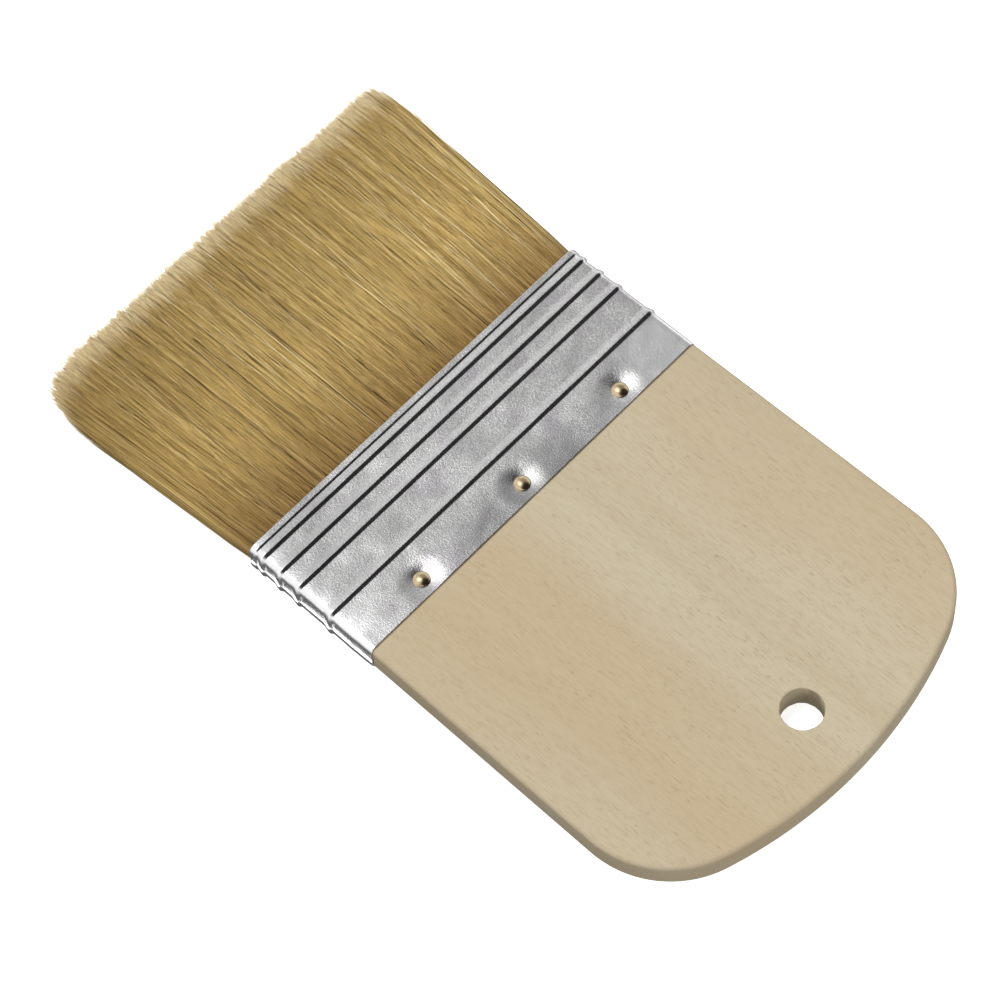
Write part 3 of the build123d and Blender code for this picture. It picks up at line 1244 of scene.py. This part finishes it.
# ---- Bristle --------------------------------------------------------------------------------
@dataclass
class Bristle:
    """The tuft: thousands of tapered hairs in a front layer and a back layer."""

    finish: BleachedBristle
    per_piece: int = 4500
    pieces_per_layer: int = 3
    segments: int = 7
    mouth_half_width: float = 39.2 * MM
    tip_half_width: float = 41.3 * MM
    mouth_half_thick: float = 2.75 * MM
    belly_half_thick: float = 3.3 * MM
    tip_half_thick: float = 2.5 * MM
    corner: float = 5.2 * MM
    slant: float = 1.1 * MM
    uneven: float = 6.5 * MM
    set_back: float = 0.6 * MM
    bulge: float = 0.4 * MM
    worn: float = 5.0 * MM
    hair_radius: float = 0.085 * MM
    held: float = 2.0 * MM
    clump: float = 1.7 * MM
    curl: float = 0.22 * MM
    flag_root: float = 1.5 * MM
    warp: float = 0.4 * MM
    flags: Mapping[str, Any] = field(default_factory=lambda: {
        "Count": 7000, "Segments": 3, "Radius": 0.055 * MM, "Start": 0.955, "Swing": 1.5 * MM,
        "Short": 3.2 * MM, "Tone": 0.14, "Beyond": 0.9 * MM, "Lift": 0.4 * MM,
    })
    strays: Mapping[str, Any] = field(default_factory=lambda: {
        "Seed": 333, "Count": 420, "Segments": 12, "Radius": 0.075 * MM, "Swing": 4.5 * MM,
        "Short": 9.0 * MM, "Tone": -0.05, "Lift": 0.9 * MM,
    })

    def build(self) -> list[tuple[bpy.types.Object, list[str]]]:
        """Make every group of hairs.

        Returns:
            Each piece with the CAD nodes that it stands for.
        """
        ferrule_low, ferrule_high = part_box("ferrule")
        self.mouth, self.tip = ferrule_low.x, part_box("bristles_front")[0].x
        self.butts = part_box("bristle_butts_front")[1].x
        self.middle = (ferrule_low.z + ferrule_high.z) / 2
        tree = self._tree()
        made = []
        for layer, low, high, seed in (("front", 0.0, 1.0, 100), ("back", -1.0, 0.0, 200)):
            nodes = [f"bristles_{layer}", f"bristle_butts_{layer}"]
            share = {"Layer low": low, "Layer high": high}
            for number in range(self.pieces_per_layer):
                changed = {**share, "Seed": seed + 17 * number}
                piece = tree.make(f"bristle_{layer}_{number + 1}", None, changed)
                made.append((self._stripped(piece), nodes))
            flags = tree.make(f"bristle_{layer}_flags", None, {**self.flags, **share, "Seed": seed + 91})
            made.append((self._stripped(flags), nodes))
        strays = tree.make("bristle_strays", None, self.strays)
        made.append((self._stripped(strays), ["bristles_front"]))
        return made

    @staticmethod
    def _stripped(piece: bpy.types.Object) -> bpy.types.Object:
        """Drop the working values that the hairs were shaped with.

        Args:
            piece: a group of hairs, which is changed.

        Returns:
            The same group.
        """
        for name in ("across", "layer", "tip", "tone", "swing", "phase", "along", "around"):
            held = piece.data.attributes.get(name)
            if held is not None:
                piece.data.attributes.remove(held)
        return piece

    def _tree(self) -> GeometryTree:
        """The nodes that grow one group of hairs.

        Returns:
            The tree, whose map holds each hair's tone and the way from root to tip.
        """
        values = {
            "Count": self.per_piece, "Seed": 1, "Segments": self.segments, "Start": 0.0,
            "Layer low": -1.0, "Layer high": 1.0, "Butts": self.butts, "Mouth": self.mouth,
            "Tip": self.tip, "Middle": self.middle, "Held": self.held,
            "Mouth width": self.mouth_half_width, "Tip width": self.tip_half_width,
            "Mouth thickness": self.mouth_half_thick, "Belly thickness": self.belly_half_thick,
            "Tip thickness": self.tip_half_thick, "Corner": self.corner, "Slant": self.slant,
            "Uneven": self.uneven, "Set back": self.set_back, "Radius": self.hair_radius,
            "Swing": 3.2 * MM, "Short": 3.0 * MM, "Tone": 0.0, "Bulge": self.bulge,
            "Worn": self.worn, "Beyond": 0.0, "Lift": 0.45 * MM, "Clump": self.clump,
            "Curl": self.curl, "Warp": self.warp, "Flag root": self.flag_root,
            "Material": self.finish.material(),
        }
        tree = GeometryTree("bristle_growth", values)
        hairs = self._shaped(tree, self._rooted(tree))
        ring = tree.node("GeometryNodeCurvePrimitiveCircle", None, {"Resolution": 3, "Radius": 1.0})
        factor = tree.number(tree.node("GeometryNodeSplineParameter"))
        ring = tree.keep(ring.outputs[0], "around", factor)
        along = tree.kept("along")
        scale = tree.size("Radius") * (1.0 - 0.55 * along ** 2.0) * (0.75 + 0.5 * tree.kept("phase"))
        tubes = tree.node("GeometryNodeCurveToMesh", None, {
            "Curve": hairs, "Profile Curve": ring, "Scale": scale, "Fill Caps": True,
        })
        place = tree.vector(tree.kept("tone") + tree.kept("around") * 0.004, along * 0.96 + 0.02, 0.0)
        settings = {"data_type": "FLOAT2", "domain": "CORNER"}
        inputs = {"Geometry": tubes.outputs[0], "Name": BAKE_LAYER, "Value": place}
        tree.close(tree.node("GeometryNodeStoreNamedAttribute", settings, inputs).outputs[0])
        return tree

    def _rooted(self, tree: GeometryTree) -> bpy.types.NodeSocket:
        """A straight strand on each root, with the values that shape it.

        Args:
            tree: the tree to fill.

        Returns:
            The strands, all still in one place.
        """
        points = tree.node("GeometryNodePoints", None, {"Count": tree.start.outputs["Count"]}).outputs[0]
        across = tree.random(-1.0, 1.0, 1)
        depth = tree.random(tree.size("Layer low"), tree.size("Layer high"), 2)
        depth = tree.math("SIGN", depth) * abs(depth) ** 0.6
        edge = tree.smooth(abs(across), 0.93, 1.0, "LINEAR")
        depth = depth * tree.math("SQRT", 1.0 - edge ** 2.0 * 0.9)
        points = tree.keep(points, "across", across)
        points = tree.keep(points, "layer", depth)
        row = tree.vector(tree.kept("across") * 17.0, tree.kept("layer") * 2.0, 0.0)
        uneven = tree.noise(row, 1.0, 4.0, 0.75) - 0.5
        beyond = tree.math("MAXIMUM", abs(across) * tree.size("Tip width") - tree.size("Tip width")
                           + tree.size("Corner"), 0.0)
        bow = tree.size("Corner") - tree.math("SQRT", tree.size("Corner") ** 2.0 - beyond ** 2.0)
        short = tree.random(0.0, 1.0, 3) ** 1.6 * tree.size("Short")
        worn = tree.smooth(-across, 0.80, 1.0) * (1.3 - depth) * 0.5 * tree.size("Worn")
        tip = tree.size("Tip") + tree.size("Slant") * (1.0 - across) * 0.5 + bow + short + worn
        tip = tip + uneven * tree.size("Uneven") + tree.size("Set back") - tree.size("Beyond")
        points = tree.keep(points, "tip", tip)
        row = tree.vector(tree.kept("across") * 34.0, tree.kept("layer") * 3.0, 3.0)
        streak = tree.noise(row, 1.0, 3.0, 0.7)
        tone = 0.53 + (streak - 0.5) * 0.55 + tree.random(-1.0, 1.0, 4) ** 3.0 * 0.46 + tree.size("Tone")
        tone = tone + tree.kept("across") * 0.09
        tone = tree.math("MINIMUM", tree.math("MAXIMUM", tone, 0.13), 0.97)
        dark = tree.math("LESS_THAN", tree.random(0.0, 1.0, 5), 0.009)
        points = tree.keep(points, "tone", tone * (1.0 - dark) + dark * 0.02)
        calm = 1.0 - 0.75 * tree.smooth(abs(across), 0.9, 1.0)
        points = tree.keep(points, "swing", tree.random(-1.0, 1.0, 6) * calm)
        points = tree.keep(points, "phase", tree.random(0.0, 1.0, 7))
        strand = tree.node("GeometryNodeCurvePrimitiveLine", None, {"Start": (0, 0, 0), "End": (1, 0, 0)})
        inputs = {"Curve": strand.outputs[0], "Count": tree.size("Segments") + 1.0}
        strand = tree.node("GeometryNodeResampleCurve", None, inputs)
        inputs = {"Points": points, "Instance": strand.outputs[0]}
        placed = tree.node("GeometryNodeInstanceOnPoints", None, inputs)
        return tree.node("GeometryNodeRealizeInstances", None, {"Geometry": placed.outputs[0]}).outputs[0]

    def _shaped(self, tree: GeometryTree, hairs: bpy.types.NodeSocket) -> bpy.types.NodeSocket:
        """Lay each strand from its butt inside the ferrule out to its tip.

        Args:
            tree: the tree to fill.
            hairs: the strands.

        Returns:
            The strands in their places.
        """
        share = tree.number(tree.node("GeometryNodeSplineParameter"))
        step = share * tree.size("Segments")
        hidden = tree.math("MAXIMUM", 1.0 - step, 0.0)
        free = tree.math("MAXIMUM", (step - 1.0) / (tree.size("Segments") - 1.0), 0.0)
        grown = tree.size("Start") + free * (1.0 - tree.size("Start"))
        first = tree.size("Mouth") + tree.size("Held")
        begin = first + (tree.kept("tip") - first) * tree.size("Start")
        inside = tree.math("LESS_THAN", tree.size("Start"), 0.5)
        x = begin + (tree.kept("tip") - begin) * free + hidden * (tree.size("Butts") - first) * inside
        x = x + hidden * (1.0 - inside) * tree.size("Flag root")
        out = tree.math("MAXIMUM", (tree.size("Mouth") - x) / (tree.size("Mouth") - tree.size("Tip")), 0.0)
        flare = tree.math("MINIMUM", out / 0.8, 1.0)
        half = tree.size("Mouth width") + (tree.size("Tip width") - tree.size("Mouth width")) * flare
        belly = tree.smooth(out, 0.0, 0.4)
        thin = tree.smooth(out, 0.78, 1.0)
        at_mouth, at_belly = tree.size("Mouth thickness"), tree.size("Belly thickness")
        thick = at_mouth + (at_belly - at_mouth) * belly + (tree.size("Tip thickness") - at_belly) * thin
        half = half + tree.smooth(out, 0.0, 0.06) * tree.size("Bulge")
        y = tree.kept("across") * half
        start_out = tree.size("Start")
        gone = tree.math("MAXIMUM", (out - start_out) / (1.0 - start_out), 0.0)
        y = y + tree.kept("swing") * tree.size("Swing") * gone
        curl = tree.math("SINE", out * 6.0 + tree.kept("phase") * 40.0)
        y = y + curl * out * tree.size("Curl")
        row = tree.vector(tree.kept("across") * 40.0, tree.kept("layer") * 2.5, 7.0)
        warp = tree.noise(row, 1.0, 2.0) - 0.5
        clump = tree.math("ROUND", y / tree.size("Clump") + warp * 2.0) - warp * 2.0
        pull = tree.smooth(out, 0.30, 1.05) * 0.22
        y = y + (clump * tree.size("Clump") - y) * pull
        lift = tree.math("SINE", out * 2.5 + tree.kept("phase") * 90.0) * out * tree.size("Lift")
        z = tree.size("Middle") + tree.kept("layer") * thick + lift + warp * out * tree.size("Warp")
        z = tree.math("MAXIMUM", z, 0.08 * MM)
        hairs = tree.node("GeometryNodeSetPosition", None,
                          {"Geometry": hairs, "Position": tree.vector(x, y, z)}).outputs[0]
        return tree.keep(hairs, "along", grown)


# ---- Studio ---------------------------------------------------------------------------------
@dataclass(frozen=True)
class Patch:
    """A round patch of the room that is brighter or darker than the rest, with angles in degrees."""

    towards: Point
    inner: float
    outer: float
    change: float


@dataclass(frozen=True)
class Lamp:
    """A soft round lamp that faces the brush."""

    name: str
    watts: float
    place: Point


@dataclass
class Studio:
    """Camera, light and table for the brush as it lies on its back."""

    azimuth: float = 49.70
    elevation: float = 61.61
    roll: float = -6.97
    distance: float = 0.5736
    lens: float = 122.3
    aim_offset: Point = (-1.53 * MM, -2.97 * MM, -2.45 * MM)
    floor_size: float = 3.0
    lamp_size: float = 0.35
    patches: tuple[Patch, ...] = (
        Patch((0.72, 0.16, 0.68), 37.0, 58.0, -1.0),
        Patch((-0.36, -0.31, -0.88), 30.0, 62.0, -0.40),
        Patch((-0.80, 0.31, 0.52), 4.0, 13.0, -0.45),
        Patch((-0.28, 0.45, 0.85), 12.0, 34.0, -0.62),
        Patch((-0.38, -0.08, 0.92), 2.0, 19.0, 2.2),
    )
    lamps: tuple[Lamp, ...] = (
        Lamp("soft_box", 5.6, (-0.30, 0.0, 0.93)),
        Lamp("fill", 1.6, (0.55, 0.02, 0.28)),
    )

    def build(self, floor_finish: StudioFloor) -> None:
        """Set up everything round the brush.

        Args:
            floor_finish: the table top's finish.
        """
        self._camera()
        self._world()
        self._lamps()
        self._floor(floor_finish)
        bpy.context.scene.view_settings.view_transform = "Standard"

    def _camera(self) -> None:
        """A long lens that looks down on the brush from its hanging end."""
        turn, rise = math.radians(self.azimuth), math.radians(self.elevation)
        back = Vector((math.sin(turn) * math.cos(rise), -math.cos(turn) * math.cos(rise), math.sin(rise)))
        aim = (CAD_LOW + CAD_HIGH) / 2 + Vector(self.aim_offset)
        data = bpy.data.cameras.new("camera")
        data.lens = self.lens
        data.sensor_width = 36.0
        data.clip_start, data.clip_end = 0.01, 10.0
        camera = bpy.data.objects.new("camera", data)
        bpy.context.scene.collection.objects.link(camera)
        camera.rotation_mode = "QUATERNION"
        upright = (-back).to_track_quat("-Z", "Y")
        camera.rotation_quaternion = upright @ Quaternion((0, 0, 1), math.radians(self.roll))
        camera.location = aim + back * self.distance
        bpy.context.scene.camera = camera

    def _world(self) -> None:
        """A bright room with a dark stretch behind the camera and a soft box overhead."""
        world = bpy.data.worlds.new("studio")
        world.use_nodes = True
        world.node_tree.nodes.clear()
        graph = Graph(world.node_tree)
        direction = graph.node("ShaderNodeTexCoord").outputs["Generated"]
        _, _, up = graph.parts(direction)
        light = graph.blend(graph.smooth(up, -0.12, 0.04), 0.52, 1.0)
        for patch in self.patches:
            along = graph.node("ShaderNodeVectorMath", {"operation": "DOT_PRODUCT"},
                               {0: direction, 1: Vector(patch.towards).normalized()}).outputs["Value"]
            outer, inner = math.cos(math.radians(patch.outer)), math.cos(math.radians(patch.inner))
            light = light + graph.smooth(along, outer, inner) * patch.change
        light = graph.math("MAXIMUM", light, 0.02)
        glow = graph.node("ShaderNodeBackground", None, {"Color": (1.0, 1.0, 1.0), "Strength": light})
        out = graph.node("ShaderNodeOutputWorld")
        graph.tree.links.new(glow.outputs[0], out.inputs["Surface"])
        bpy.context.scene.world = world

    def _lamps(self) -> None:
        """A soft lamp high on the bristle side, and a weak one low on the handle side."""
        for setting in self.lamps:
            data = bpy.data.lights.new(setting.name, "AREA")
            data.shape = "DISK"
            data.size = self.lamp_size
            data.energy = setting.watts
            lamp = bpy.data.objects.new(setting.name, data)
            bpy.context.scene.collection.objects.link(lamp)
            lamp.location = Vector(setting.place)
            lamp.visible_glossy = False
            lamp.rotation_mode = "QUATERNION"
            lamp.rotation_quaternion = (-lamp.location).to_track_quat("-Z", "Y")

    def _floor(self, finish: StudioFloor) -> None:
        """The table top.

        Args:
            finish: its finish.
        """
        half = self.floor_size / 2
        mesh = bpy.data.meshes.new("floor")
        corners = [(-half, -half, 0), (half, -half, 0), (half, half, 0), (-half, half, 0)]
        mesh.from_pydata(corners, [], [(0, 1, 2, 3)])
        mesh.materials.append(finish.material())
        floor = add_piece("floor", mesh)
        floor.visible_glossy = False
        floor.visible_diffuse = False


# ---- Assembly -------------------------------------------------------------------------------
def report(piece: bpy.types.Object) -> None:
    """Log a finished piece."""
    log.info("%s: %d faces", piece.name, len(piece.data.polygons))


def seat(piece: bpy.types.Object, slot: Slot, *nodes: str) -> None:
    """Let a piece ride on the brush's fixed body and stand for some CAD nodes.

    Args:
        piece: the piece.
        slot: the finish that it has in the record; not used.
        nodes: the CAD nodes that it stands for.
    """
    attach(piece, Body.STOCK.value)
    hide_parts(*nodes)
    report(piece)


def main() -> None:
    """Build the brush, piece by piece, and the studio round it."""
    logging.basicConfig(level=logging.INFO, format="%(message)s")
    wood_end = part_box("ferrule")[1].x
    seat(Handle(RawWood(joint_x=wood_end)).build(), Slot.RAW_WOOD, "handle")

    rows = {face: [f"nail_{face.name.lower()}_{n}" for n in (1, 2, 3)] for face in Face}
    nails = Nails(NailMetal(), rows)
    places = nails.places(Face.FRONT) + nails.places(Face.BACK)
    seat(nails.build(), Slot.NAIL_METAL, *rows[Face.FRONT], *rows[Face.BACK])
    seat(Ferrule(Tinplate(wood_end), nails=places).build(), Slot.TINPLATE, "ferrule")

    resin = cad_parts["resin_setting"]
    resin.data.materials.clear()
    resin.data.materials.append(CuredResin().material())

    bristle = Bristle(BleachedBristle())
    for piece, nodes in bristle.build():
        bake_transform(piece)
        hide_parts(*nodes)
        report(piece)

    Studio().build(StudioFloor())


if __name__ == "__main__":
    main()
